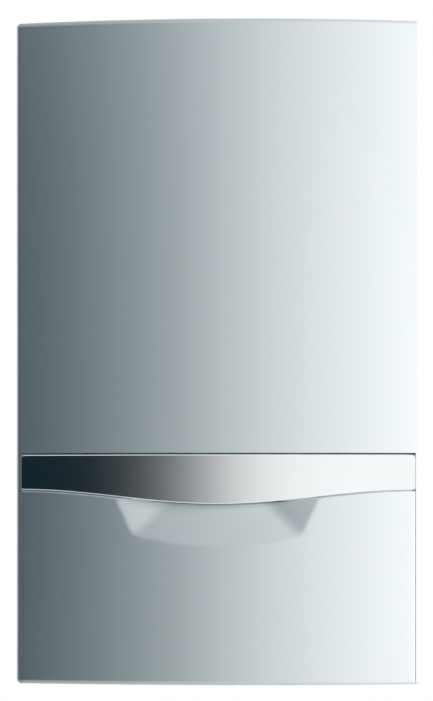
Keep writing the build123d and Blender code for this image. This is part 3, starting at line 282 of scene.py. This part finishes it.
def make_finishes():
    """Every finish by the name of its slot."""
    zinc, cast = (0.62, 0.64, 0.66), (0.56, 0.57, 0.58)
    brass, copper = (0.70, 0.52, 0.25), (0.80, 0.42, 0.26)
    made = {}

    def add(slot, *args, **kwargs):
        made[slot] = finish_of(slot.replace("_", " "), *args, **kwargs)

    add("white_paint", WHITE, darker(WHITE, 0.985), 0.31, metallic=0.24, bump=0.02, grain=420,
        variation=0.04)
    add("white_moulding", WHITE, darker(WHITE, 0.985), 0.31, metallic=0.24, bump=0.02, grain=520,
        variation=0.04)
    add("metallic_band", SILVER, darker(SILVER, 0.985), 0.19, metallic=1.0, bump=0.001, grain=900,
        lines="X", variation=0.006)
    add("galvanised_steel", zinc, (0.48, 0.51, 0.54), 0.42, metallic=0.95, bump=0.06, grain=160,
        patch=70, amount=0.9)
    add("bracket_steel", zinc, (0.52, 0.55, 0.58), 0.38, metallic=0.95, bump=0.06, grain=300,
        lines="X", patch=60)
    add("zinc_fasteners", (0.66, 0.67, 0.66), (0.5, 0.51, 0.5), 0.3, metallic=1.0, grain=900,
        patch=90)
    add("black_rubber", (0.02, 0.02, 0.022), (0.05, 0.05, 0.05), 0.62, bump=0.1, grain=1200)
    add("grey_foam", (0.09, 0.095, 0.1), (0.14, 0.145, 0.15), 0.85, bump=0.5, grain=1500)
    add("pin_steel", (0.6, 0.61, 0.62), (0.5, 0.51, 0.52), 0.25, metallic=1.0, grain=800, lines="X")
    add("magnet_plastic", (0.7, 0.71, 0.71), (0.6, 0.61, 0.61), 0.5, grain=1300)
    add("flue_aluminium", (0.72, 0.74, 0.75), (0.62, 0.64, 0.65), 0.4, metallic=0.85, bump=0.08,
        grain=700, patch=50)
    add("grey_pipe", (0.33, 0.35, 0.36), (0.27, 0.29, 0.3), 0.48, bump=0.05, grain=900)
    add("cast_aluminium", cast, (0.42, 0.43, 0.44), 0.55, metallic=0.8, bump=0.55, grain=520,
        patch=30, amount=0.7)
    add("door_aluminium", cast, (0.4, 0.41, 0.42), 0.6, metallic=0.75, bump=0.8, grain=430,
        patch=24, amount=0.8)
    add("white_ceramic", (0.8, 0.77, 0.7), (0.68, 0.63, 0.55), 0.22, bump=0.03, grain=500)
    add("burner_steel", (0.42, 0.38, 0.34), (0.3, 0.26, 0.3), 0.45, metallic=0.9, bump=0.5,
        grain=1800)
    add("sight_brass", brass, darker(brass, 0.75), 0.28, metallic=1.0, grain=900)
    add("fan_aluminium", cast, (0.46, 0.47, 0.48), 0.5, metallic=0.8, bump=0.35, grain=700,
        patch=36)
    add("black_plastic", (0.025, 0.026, 0.028), (0.04, 0.041, 0.043), 0.45, bump=0.12, grain=1500)
    add("dark_grey_plastic", (0.06, 0.064, 0.07), (0.08, 0.084, 0.09), 0.5, bump=0.12, grain=1300)
    add("valve_aluminium", (0.6, 0.61, 0.62), (0.48, 0.49, 0.5), 0.42, metallic=0.85, bump=0.3,
        grain=800)
    add("yellow_pipe", (0.62, 0.46, 0.12), (0.5, 0.38, 0.12), 0.38, metallic=0.35, bump=0.06,
        grain=500, patch=40)
    add("vessel_red", (0.42, 0.035, 0.025), (0.33, 0.03, 0.022), 0.34, bump=0.08, grain=260,
        patch=14)
    add("pump_casting", (0.05, 0.055, 0.06), (0.08, 0.08, 0.08), 0.5, metallic=0.2, bump=0.7,
        grain=480)
    add("pump_motor_black", (0.03, 0.032, 0.035), (0.05, 0.052, 0.055), 0.42, bump=0.25, grain=700)
    add("hydraulic_brass", brass, (0.5, 0.34, 0.16), 0.42, metallic=0.95, bump=0.3, grain=600,
        patch=40, amount=0.7)
    add("vent_brass", brass, (0.55, 0.4, 0.2), 0.26, metallic=1.0, grain=1000, lines="Z")
    add("valve_brass", brass, (0.52, 0.36, 0.17), 0.36, metallic=0.95, bump=0.2, grain=700)
    add("plate_steel", (0.55, 0.53, 0.5), (0.62, 0.42, 0.28), 0.34, metallic=1.0, bump=0.1,
        grain=500, patch=60, amount=0.6)
    add("copper_pipe", copper, (0.5, 0.26, 0.17), 0.3, metallic=1.0, bump=0.06, grain=700,
        patch=45, amount=0.7)
    add("stub_copper", copper, (0.52, 0.28, 0.18), 0.27, metallic=1.0, bump=0.06, grain=800,
        lines="Z", patch=50)
    add("trap_plastic", (0.5, 0.53, 0.55), (0.42, 0.45, 0.46), 0.3, bump=0.04, grain=600)
    add("hose_grey", (0.12, 0.125, 0.135), (0.16, 0.165, 0.17), 0.6, bump=0.3, grain=700)
    add("control_plastic", (0.1, 0.108, 0.118), (0.125, 0.132, 0.14), 0.5, bump=0.2, grain=1600)
    add("panel_plastic", (0.27, 0.29, 0.31), (0.3, 0.32, 0.335), 0.44, bump=0.18, grain=1900)
    add("board_green", (0.012, 0.09, 0.04), (0.01, 0.06, 0.03), 0.38, bump=0.25, grain=420,
        patch=120, amount=0.9)
    add("display_glass", (0.012, 0.016, 0.016), (0.016, 0.022, 0.02), 0.08, bump=0.0, grain=300,
        Coat_Weight=1.0, Coat_Roughness=0.03)
    add("gauge_body", (0.72, 0.73, 0.73), (0.66, 0.67, 0.67), 0.4, bump=0.04, grain=900)
    add("needle_red", (0.5, 0.02, 0.015), (0.42, 0.02, 0.015), 0.35, grain=1200)
    add("button_plastic", (0.62, 0.64, 0.66), (0.56, 0.58, 0.6), 0.4, bump=0.08, grain=1700)
    add("reset_plastic", (0.42, 0.05, 0.025), (0.36, 0.045, 0.025), 0.4, bump=0.08, grain=1700)
    return made


def glass_finish():
    """Clear glass for the gauge."""
    material = bpy.data.materials.new("gauge glass")
    material.use_nodes = True
    shader = material.node_tree.nodes["Principled BSDF"]
    shader.inputs["Base Color"].default_value = (0.95, 0.97, 0.98, 1)
    shader.inputs["Transmission Weight"].default_value = 1.0
    shader.inputs["IOR"].default_value = 1.05
    texture = use_group(material.node_tree, GRAIN, Grain_size=600, Roughness=0.03, Variation=0.03)
    material.node_tree.links.new(texture.outputs["Roughness"], shader.inputs["Roughness"])
    return material


FINISHES = make_finishes()
FINISHES["gauge_glass"] = glass_finish()


# Meshes


def smooth_by_angle(mesh, degrees):
    """Smooth shading, with edges kept sharp where the faces turn by more than an angle."""
    mesh.shade_smooth()
    mesh.set_sharp_from_angle(angle=math.radians(degrees))


def even_shading(piece):
    """Normals weighted by face area, so that a large face shades evenly up to its rounded edge."""
    weighting = piece.modifiers.new("even shading", "WEIGHTED_NORMAL")
    weighting.keep_sharp = True


def merged_copy(node, degrees=24):
    """A CAD node's own mesh with its doubles merged and its round stretches shaded smooth."""
    source = frame["nodes"][node]
    mesh = source.data.copy()
    mesh.name = node + "_finished"
    piece = bpy.data.objects.new(node + "_finished", mesh)
    bpy.context.scene.collection.objects.link(piece)
    work = bmesh.new()
    work.from_mesh(mesh)
    bmesh.ops.remove_doubles(work, verts=work.verts, dist=1e-6)
    work.to_mesh(mesh)
    work.free()
    smooth_by_angle(mesh, degrees)
    even_shading(piece)
    return piece


def envelope_normals(points):
    """The casing's outward direction: from the nearest point of a core, which is the bowed
    envelope drawn in by its edge radius, to the point. Also the point's distance from that core."""
    x, y, h = points[:, 0], points[:, 1], points[:, 2] - CASE_BOTTOM
    half, radius = HALF_WIDTH - EDGE_RADIUS, FRONT_RADIUS - EDGE_RADIUS
    corner_y = ARC_CENTRE_Y - np.sqrt(radius**2 - half**2)
    reach = np.hypot(x, y - ARC_CENTRE_Y)
    arc_x, arc_y = x * radius / reach, ARC_CENTRE_Y + (y - ARC_CENTRE_Y) * radius / reach
    beside = np.abs(arc_x) > half
    inside = (reach < radius) & (np.abs(x) < half)
    core_x = np.where(inside, x, np.where(beside, np.sign(x) * half, arc_x))
    core_y = np.where(inside, y, np.where(beside, np.maximum(y, corner_y), arc_y))
    core_h = np.clip(h, EDGE_RADIUS, CASE_HEIGHT - EDGE_RADIUS)
    way = np.stack([x - core_x, y - core_y, h - core_h], axis=-1)
    distance = np.linalg.norm(way, axis=1)
    return way / np.maximum(distance, 1e-9)[:, None], distance


ON_ENVELOPE = 8e-5  # how far off the envelope a corner may be
FACING_OUT = 0.85  # least cosine between a face and the envelope's normal


def shade_envelope(piece):
    """Exact normals on the faces of a copy that lie on the casing's rounded, bowed outside."""
    mesh = piece.data
    piece.modifiers.clear()
    count = len(mesh.loops)
    corner, vertex = np.empty(count * 3), np.empty(count, dtype=np.int32)
    mesh.corner_normals.foreach_get("vector", corner)
    mesh.loops.foreach_get("vertex_index", vertex)
    places = np.empty(len(mesh.vertices) * 3)
    mesh.vertices.foreach_get("co", places)
    way, distance = envelope_normals(places.reshape(-1, 3)[vertex])
    flat = np.empty(len(mesh.polygons) * 3)
    mesh.polygons.foreach_get("normal", flat)
    on_face = np.repeat(flat.reshape(-1, 3), 3, axis=0)
    near = np.abs(distance - EDGE_RADIUS) < ON_ENVELOPE
    close = near & ((way * on_face).sum(1) > FACING_OUT)
    whole = np.repeat(close.reshape(-1, 3).all(1), 3)
    normals = np.where(whole[:, None], way, corner.reshape(-1, 3))
    mesh.normals_split_custom_set(normals.tolist())


def dress(piece, material):
    piece.data.materials.clear()
    piece.data.materials.append(material)


def quads(index):
    """The four-cornered faces of a grid of vertex numbers."""
    corners = (index[:-1, :-1], index[:-1, 1:], index[1:, 1:], index[1:, :-1])
    return np.stack(corners, axis=-1).reshape(-1, 4).tolist()


def make_piece(name, points, faces, slot, body, degrees=30):
    """A piece of points and faces in its slot's finish, riding on a body."""
    mesh = bpy.data.meshes.new(name)
    mesh.from_pydata(np.asarray(points).reshape(-1, 3).tolist(), [], faces)
    mesh.validate()
    smooth_by_angle(mesh, degrees)
    piece = bpy.data.objects.new(name, mesh)
    bpy.context.scene.collection.objects.link(piece)
    dress(piece, FINISHES[slot])
    even_shading(piece)
    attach(piece, body)
    return piece


def grid_faces(rows, columns, close_rows=False, close_columns=False, cap_columns=False):
    """Faces of a grid, joined round either way or with a face over its first and last column."""
    index = np.arange(rows * columns).reshape(rows, columns)
    caps = []
    if cap_columns:
        caps += [index[:, 0].tolist(), index[::-1, -1].tolist()]
    if close_rows:
        index = np.vstack([index, index[:1]])
    if close_columns:
        index = np.hstack([index, index[:, :1]])
    return quads(index) + caps


def shell_faces(rows, columns):
    """Faces of an outer and an inner grid, the inner turned round, with their borders joined."""
    outer = np.arange(rows * columns).reshape(rows, columns)
    inner = outer + rows * columns
    ring = np.concatenate([outer[0, :-1], outer[:-1, -1], outer[-1, :0:-1], outer[:0:-1, 0]])
    after = np.roll(ring, -1)
    count = rows * columns
    rim = np.stack((ring, ring + count, after + count, after), axis=-1).tolist()
    return quads(outer) + quads(inner[:, ::-1]) + rim


# Pieces


def body_of(node):
    return frame["nodes"][node]["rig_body"]


def slot_of(node):
    subparts = frame["record"]["subparts"]
    return next(part["material_slot"] for part in subparts if part["node"] == node)


def finish_nodes():
    """Every CAD node in its own finish, on a merged copy so that its round faces shade smooth."""
    for node in frame["nodes"]:
        if node in ("flap", "trim_band"):
            continue
        piece = merged_copy(node)
        slot = slot_of(node)
        dress(piece, FINISHES[slot])
        if node == "front_cover":
            shade_envelope(piece)
        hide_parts(node)
        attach(piece, body_of(node))


def soft_max(a, b, blend):
    """The larger of two fields, with a quadratic fillet where they differ by less than blend."""
    near = np.clip(1 - np.abs(a - b) / blend, 0, 1)
    return np.maximum(a, b) + blend / 4 * near**2


def grip_depth(x, h):
    """How far the grip lies behind the bowed front: the lesser of a floor that sinks as it rises
    from a curved foot and two flanks that sink inwards from leaning edges, with the crease between
    them rounded. Behind the band a deeper room is added for the fingertips."""
    foot = GRIP_LOW + GRIP_FOOT_CURVE * x**2
    edge = GRIP_EDGE - GRIP_TAPER * (GRIP_EDGE_HEIGHT - h)
    floor = GRIP_SLOPE * (h - foot)
    flank = GRIP_FLANK * (edge - np.abs(x))
    open_part = -soft_max(-floor, -flank, GRIP_CREASE)
    sunk = np.clip((h - ROOM_LOW) * ROOM_SLOPE, 0, ROOM_DEPTH)
    behind = sunk * np.clip((ROOM_HALF - np.abs(x)) / ROOM_FADE, 0, 1)
    return np.where(h < GRIP_TOP, open_part + behind, -1.0)


def both_ways(values):
    """Positive values and their negatives in rising order."""
    values = np.asarray(values)
    return np.concatenate([-values[::-1], values])


def flap_columns():
    """Places across the flap, close together over the grip and at the hinge notches, and how far
    each lies back on the quarter circle that rounds the flap's upright edges."""
    turn = np.radians([30, 60, 90])
    inner = np.concatenate([
        np.arange(0.0007, 0.1185, 0.0014), np.linspace(0.121, 0.1845, 16),
        [EARS[0] - 1e-5, EARS[0], 0.1888, EARS[1], EARS[1] + 1e-5],
        np.linspace(0.194, UPRIGHT_START, 6),
    ])
    half = np.concatenate([inner, UPRIGHT_START + UPRIGHT_RADIUS * np.sin(turn), [FLAP_HALF]])
    rounding = UPRIGHT_RADIUS * (1 - np.cos(turn))
    back = np.concatenate([np.zeros(inner.size), rounding, [HELD_BACK]])
    return both_ways(half), np.concatenate([back[::-1], back])


def flap_skin():
    """The moulded flap as a closed shell. Each column is an outline from the rear of the floor,
    round a quarter circle, up the bowed front, round the step's edge, up the band's seat and back
    along the top. The grip's field is blended into it, and the inner wall is the same grid set back
    and drawn in at its ends."""
    x, back = flap_columns()
    step = band_low(x) - STEP_GAP
    heights, offsets, gripped = [], [], []

    def row(height, offset, grip=True):
        heights.append(height + 0 * x)
        offsets.append(offset + 0 * x)
        gripped.append(grip)

    row(0, HELD_BACK, False)
    for turn in np.radians(np.linspace(0, 90, 7)):
        row(EDGE_RADIUS * (1 - np.cos(turn)), EDGE_RADIUS * (1 - np.sin(turn)), False)
    levels = np.concatenate([np.linspace(0.02, 0.6, 14), np.linspace(0.615, 1, 66)])
    for level in levels:
        row(EDGE_RADIUS + (step - STEP_ROLL - EDGE_RADIUS) * level, 0)
    for turn in np.radians([22.5, 45, 67.5, 90]):
        row(step - STEP_ROLL + STEP_ROLL * np.sin(turn), STEP_ROLL * (1 - np.cos(turn)))
    row(step, SEAT)
    for level in np.linspace(0.15, 1, 12):
        row(step + (GRIP_TOP - 0.0004 - step) * level, SEAT)
    for height in (GRIP_TOP + 0.0002, 0.236, 0.2487):
        row(height, SEAT, False)
    row(FLAP_TOP, SEAT + 0.001, False)
    row(FLAP_TOP, HELD_BACK, False)

    h, offset = np.array(heights), np.array(offsets)
    y = front_y(x)[None] + offset + back[None]
    sunk = front_y(x)[None] + back[None] + grip_depth(x[None], h)
    y = np.where(np.array(gripped)[:, None], soft_max(y, sunk, GRIP_BORDER), y)
    notch = (np.abs(x) >= EARS[0]) & (np.abs(x) <= EARS[1])
    y = np.minimum(y, FLAP_REAR)
    y[0, notch] = NOTCH_FRONT
    drawn_in = FLAP_WALL * np.clip((np.abs(x) - 0.2) / (FLAP_HALF - 0.2), 0, 1)
    inner_h = FLAP_WALL + h * (FLAP_TOP - 2 * FLAP_WALL) / FLAP_TOP
    inner_y = np.minimum(y + FLAP_WALL, FLAP_REAR)
    inner_y[0, notch] = NOTCH_FRONT
    outer = np.stack([x[None] + 0 * h, y, CASE_BOTTOM + h], axis=-1)
    inner_x = x - np.sign(x) * drawn_in
    inner = np.stack([inner_x[None] + 0 * h, inner_y, CASE_BOTTOM + inner_h], axis=-1)
    points, faces = np.concatenate([outer, inner]), shell_faces(*h.shape)
    piece = make_piece("flap_skin", points, faces, "white_moulding", "flap", 40)
    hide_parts("flap")


def hinge_lugs():
    """The flap's two lugs. Ahead of the pin the outline is a rectangle's distance and behind it a
    circle's, and a bevelled strip with a hole runs round it."""
    angle = np.radians(np.arange(0, 360, 5.0))
    forward = np.cos(angle) > LEAST_TURN
    for side in (-1, 1):
        reach = -front_y(LUGS[1]) + PIN_Y - LUG_SETBACK
        ahead = reach / np.maximum(np.cos(angle), LEAST_TURN)
        beside = LUG_RADIUS / np.maximum(np.abs(np.sin(angle)), LEAST_TURN)
        radius = np.where(forward, np.minimum(ahead, beside), LUG_RADIUS)
        width = LUGS[1] - LUGS[0]
        places = np.array([0, LUG_BEVEL, width - LUG_BEVEL, width]) + LUGS[0]
        outer = radius[:, None] - np.array([LUG_BEVEL, 0, 0, LUG_BEVEL])
        spoke = np.concatenate([outer, np.full((angle.size, 2), LUG_BORE)], axis=1)
        along = np.concatenate([places, [places[-1], places[0]]])
        points = np.stack([
            side * along[None] + 0 * spoke,
            PIN_Y - spoke * np.cos(angle)[:, None],
            CASE_BOTTOM + PIN_HEIGHT + spoke * np.sin(angle)[:, None],
        ], axis=-1)
        if side > 0:
            points = points[::-1]
        faces = grid_faces(*spoke.shape, close_rows=True, close_columns=True)
        name = "flap_lug_right" if side > 0 else "flap_lug_left"
        make_piece(name, points, faces, "white_moulding", "flap", 35)


def trim_band():
    """The band as a closed strip. At each place across, its outline goes up the bowed front between
    two rounded edges and down the rear. Over the grip the rear has a thicker lip along its foot."""
    turn = np.radians(np.linspace(0, 90, 7))
    ends = BAND_CORNER_START + BAND_CORNER * np.sin(turn)
    x = both_ways(np.concatenate([np.linspace(0.001, 0.208, 90), ends]))
    along = np.clip(np.abs(x) - BAND_CORNER_START, 0, BAND_CORNER)
    corner = BAND_CORNER - np.sqrt(np.clip(BAND_CORNER**2 - along**2, 0, None))
    low, top = band_low(x) + 0.35 * corner, FLAP_TOP - 0.0006 - corner
    under, over = BAND_UNDER, BAND_OVER
    lip = np.clip((GRIP_HALF - np.abs(x)) / LIP_FADE, 0, 1)
    rear = BAND_WALL + BAND_LIP * lip
    profile = [(low + under * (1 - np.cos(t)), under * (1 - np.sin(t))) for t in turn]
    profile += [(low + (top - low) * level, 0 * x) for level in np.linspace(0.06, 0.94, 9)]
    profile += [(top - over + over * np.sin(t), over * (1 - np.cos(t))) for t in turn]
    profile += [(top, BAND_WALL - 0.0004 + 0 * x), (top - 0.0004, BAND_WALL + 0 * x)]
    profile += [(low + 0.0042, BAND_WALL + 0 * x), (low + 0.0032, rear)]
    profile += [(low + 0.0008, rear), (low, rear - 0.0008)]
    h, offset = (np.array([part[i] + 0 * x for part in profile]) for i in (0, 1))
    points = np.stack([x[None] + 0 * h, front_y(x)[None] + offset, CASE_BOTTOM + h], axis=-1)
    faces = grid_faces(*h.shape, close_rows=True, cap_columns=True)
    piece = make_piece("trim_band_shaped", points, faces, "metallic_band", "flap", 40)
    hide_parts("trim_band")


# Stage and light

FLOOR_HALF, FLOOR_DROP, FLOOR_GLOW = 4.0, 1.2, 0.72
FLAG_RADIUS, FLAG_LEFT, FLAG_RIGHT = 2.6, -82, 40
FLAG_MIDDLE, FLAG_SOFTNESS, FLAG_FADE = -2.3, 5.2, 10
FLAG_HIGH, FLAG_TOP = 0.55, 1.05
SMOKE = 0.25
TARGET = Vector((0, -0.31, -0.3))

# Lamp name, azimuth, distance, width, height, radiance, elevation, colour
LAMPS = (
    ("key", 75, 3.0, 0.8, 2.4, 25.0, 0.0, (1.0, 0.40, 0.32)),
    ("key_cool_edge", 70, 3.0, 0.8, 2.4, 21.0, 0.0, (0.27, 0.89, 0.96)),
    ("upper_right", 60, 2.6, 1.2, 0.8, 2.0, 70, (0.35, 0.6, 1.0)),
    ("left_rear", -112, 2.6, 1.2, 2.4, 3.6, 0.0, (1, 1, 1)),
    ("right_rear", 150, 2.6, 1.2, 2.4, 2.6, 0.0, (1, 1, 1)),
    ("overhead", 180, 2.4, 1.6, 1.6, 1.3, 70, (1, 1, 1)),
)


def add_floor():
    """A pale floor well below the boiler, a square at one height."""
    mesh = bpy.data.meshes.new("floor")
    size, z = FLOOR_HALF, CASE_BOTTOM - FLOOR_DROP
    corners = [(-size, -size, z), (size, -size, z), (size, size, z), (-size, size, z)]
    mesh.from_pydata(corners, [], [(0, 1, 2, 3)])
    floor = bpy.data.objects.new("floor", mesh)
    bpy.context.scene.collection.objects.link(floor)
    material = bpy.data.materials.new("pale floor")
    material.use_nodes = True
    tree = material.node_tree
    shader = tree.nodes["Principled BSDF"]
    shader.inputs["Base Color"].default_value = (0.34, 0.35, 0.36, 1)
    shader.inputs["Roughness"].default_value = 0.9
    shader.inputs["Emission Color"].default_value = (0.97, 0.985, 1.0, 1)
    glow = math_node(tree, "MULTIPLY", seen_ray(tree), FLOOR_GLOW)
    tree.links.new(glow, shader.inputs["Emission Strength"])
    mesh.materials.append(material)


def add_flag():
    """A dark curved screen round the left that only gloss sees. Its cover falls along a logistic
    curve of the angle round the boiler, and fades out above the casing."""
    angles = np.radians(np.linspace(FLAG_LEFT, FLAG_RIGHT, 123))
    heights = np.concatenate([np.linspace(-3.5, 0.5, 9), np.linspace(FLAG_HIGH, FLAG_TOP, 11)])
    a, z = np.meshgrid(angles, heights)
    radius = FLAG_RADIUS
    points = np.stack([radius * np.sin(a), -0.31 - radius * np.cos(a), z], axis=-1)
    mesh = bpy.data.meshes.new("flag")
    mesh.from_pydata(points.reshape(-1, 3).tolist(), [], grid_faces(*a.shape))
    right = 1 / (1 + np.exp((np.degrees(a) - FLAG_MIDDLE) / FLAG_SOFTNESS))
    left = np.clip((np.degrees(a) - FLAG_LEFT) / FLAG_FADE, 0, 1)
    cover = np.clip(1.01 * right, 0, 1) * left * np.clip(FLAG_TOP - z, 0, 0.5) * 2
    mesh.attributes.new("cover", "FLOAT", "POINT").data.foreach_set("value", cover.ravel())
    flag = bpy.data.objects.new("flag", mesh)
    bpy.context.scene.collection.objects.link(flag)
    material = bpy.data.materials.new("studio flag")
    material.use_nodes = True
    tree = material.node_tree
    tree.nodes.remove(tree.nodes["Principled BSDF"])
    glow = tree.nodes.new("ShaderNodeEmission")
    clear = tree.nodes.new("ShaderNodeBsdfTransparent")
    mix = tree.nodes.new("ShaderNodeMixShader")
    glow.inputs["Color"].default_value = (*SHADE_BLUE, 1)
    path, cover = tree.nodes.new("ShaderNodeLightPath"), tree.nodes.new("ShaderNodeAttribute")
    cover.attribute_name = "cover"
    shown = math_node(tree, "MULTIPLY", path.outputs["Is Glossy Ray"], cover.outputs["Fac"])
    tree.links.new(shown, mix.inputs["Fac"])
    tree.links.new(clear.outputs[0], mix.inputs[1])
    tree.links.new(glow.outputs[0], mix.inputs[2])
    tree.links.new(mix.outputs[0], tree.nodes["Material Output"].inputs["Surface"])
    mesh.materials.append(material)


def add_softbox(name, azimuth, distance, width, height, radiance, elevation, colour):
    """An area lamp aimed at the middle of the front; azimuth turns to the right, in degrees."""
    lamp = bpy.data.lights.new(name, "AREA")
    lamp.shape = "RECTANGLE"
    lamp.size, lamp.size_y = width, height
    lamp.energy = radiance * math.pi * width * height
    lamp.color = colour
    a, e = math.radians(azimuth), math.radians(elevation)
    way = Vector((math.sin(a) * math.cos(e), -math.cos(a) * math.cos(e), math.sin(e)))
    place = TARGET + distance * way
    holder = bpy.data.objects.new(name, lamp)
    holder.location = place
    holder.rotation_euler = (TARGET - place).to_track_quat("-Z", "Y").to_euler()
    holder.visible_camera = False
    holder.visible_glossy = False
    bpy.context.scene.collection.objects.link(holder)


def add_screen():
    """A smoked screen close to the right side, a flat rectangle that lets a quarter of the key
    light through to the side panel. Only shadows see it."""
    mesh = bpy.data.meshes.new("screen")
    x, front, rear, low, high = 0.27, -0.318, 0.2, -1.1, 0.6
    corners = [(x, front, low), (x, rear, low), (x, rear, high), (x, front, high)]
    mesh.from_pydata(corners, [], [(0, 1, 2, 3)])
    screen = bpy.data.objects.new("screen", mesh)
    bpy.context.scene.collection.objects.link(screen)
    material = bpy.data.materials.new("smoked screen")
    material.use_nodes = True
    tree = material.node_tree
    tree.nodes.remove(tree.nodes["Principled BSDF"])
    smoke = tree.nodes.new("ShaderNodeBsdfTransparent")
    smoke.inputs["Color"].default_value = (SMOKE, SMOKE, SMOKE, 1)
    tree.links.new(smoke.outputs[0], tree.nodes["Material Output"].inputs["Surface"])
    mesh.materials.append(material)
    screen.visible_camera = screen.visible_glossy = False
    screen.visible_diffuse = screen.visible_transmission = False


def seen_ray(tree):
    """1 where the camera, a reflection or a clear glass looks at the backdrop, and 0 elsewhere."""
    path = tree.nodes.new("ShaderNodeLightPath")
    seen = math_node(tree, "MAXIMUM", path.outputs["Is Camera Ray"], path.outputs["Is Glossy Ray"])
    return math_node(tree, "MAXIMUM", seen, path.outputs["Is Transmission Ray"])


def add_lights():
    """The lamps, and a world that is white to the eye and nearly dark as a light."""
    for lamp in LAMPS:
        add_softbox(*lamp)
    world = bpy.data.worlds.new("studio")
    world.use_nodes = True
    bpy.context.scene.world = world
    tree = world.node_tree
    background = tree.nodes["Background"]
    mix = tree.nodes.new("ShaderNodeMix")
    mix.data_type = "RGBA"
    tree.links.new(seen_ray(tree), mix.inputs["Factor"])
    mix.inputs["A"].default_value = (0.0, 0.006, 0.012, 1)
    mix.inputs["B"].default_value = (1, 1, 1, 1)
    tree.links.new(mix.outputs["Result"], background.inputs["Color"])


# Camera: level, a little right of straight ahead, its height set by the level horizon

CAMERA_AZIMUTH = 2.25
CAMERA_AIM_Y = -0.31
SENSOR_WIDTH = 36.0
CAMERA_DISTANCE = 3.3
CAMERA_HEIGHT = -0.458
FRAME_WIDTH, FRAME_HEIGHT = 433, 701
SCALE_PIXELS = 404.5 / 0.44  # pixels per metre at the front's edges
CENTRE_COLUMN, HORIZON_ROW = 218.0, 500.0


def add_camera():
    """A camera whose lens and shifts follow from the scale, the centre column and the horizon."""
    data = bpy.data.cameras.new("camera")
    data.sensor_fit = "HORIZONTAL"
    data.sensor_width = SENSOR_WIDTH
    data.lens = SCALE_PIXELS * CAMERA_DISTANCE / FRAME_WIDTH * SENSOR_WIDTH
    data.shift_x = -(CENTRE_COLUMN - FRAME_WIDTH / 2) / FRAME_WIDTH
    data.shift_y = (HORIZON_ROW - FRAME_HEIGHT / 2) / FRAME_WIDTH
    camera = bpy.data.objects.new("camera", data)
    a = math.radians(CAMERA_AZIMUTH)
    y = CAMERA_AIM_Y - CAMERA_DISTANCE * math.cos(a)
    camera.location = (CAMERA_DISTANCE * math.sin(a), y, CAMERA_HEIGHT)
    camera.rotation_euler = (math.pi / 2, 0, a)
    bpy.context.scene.collection.objects.link(camera)
    bpy.context.scene.camera = camera


finish_nodes()
flap_skin()
hinge_lugs()
trim_band()
add_floor()
add_flag()
add_screen()
add_lights()
add_camera()
bpy.context.scene.view_settings.view_transform = "Standard"
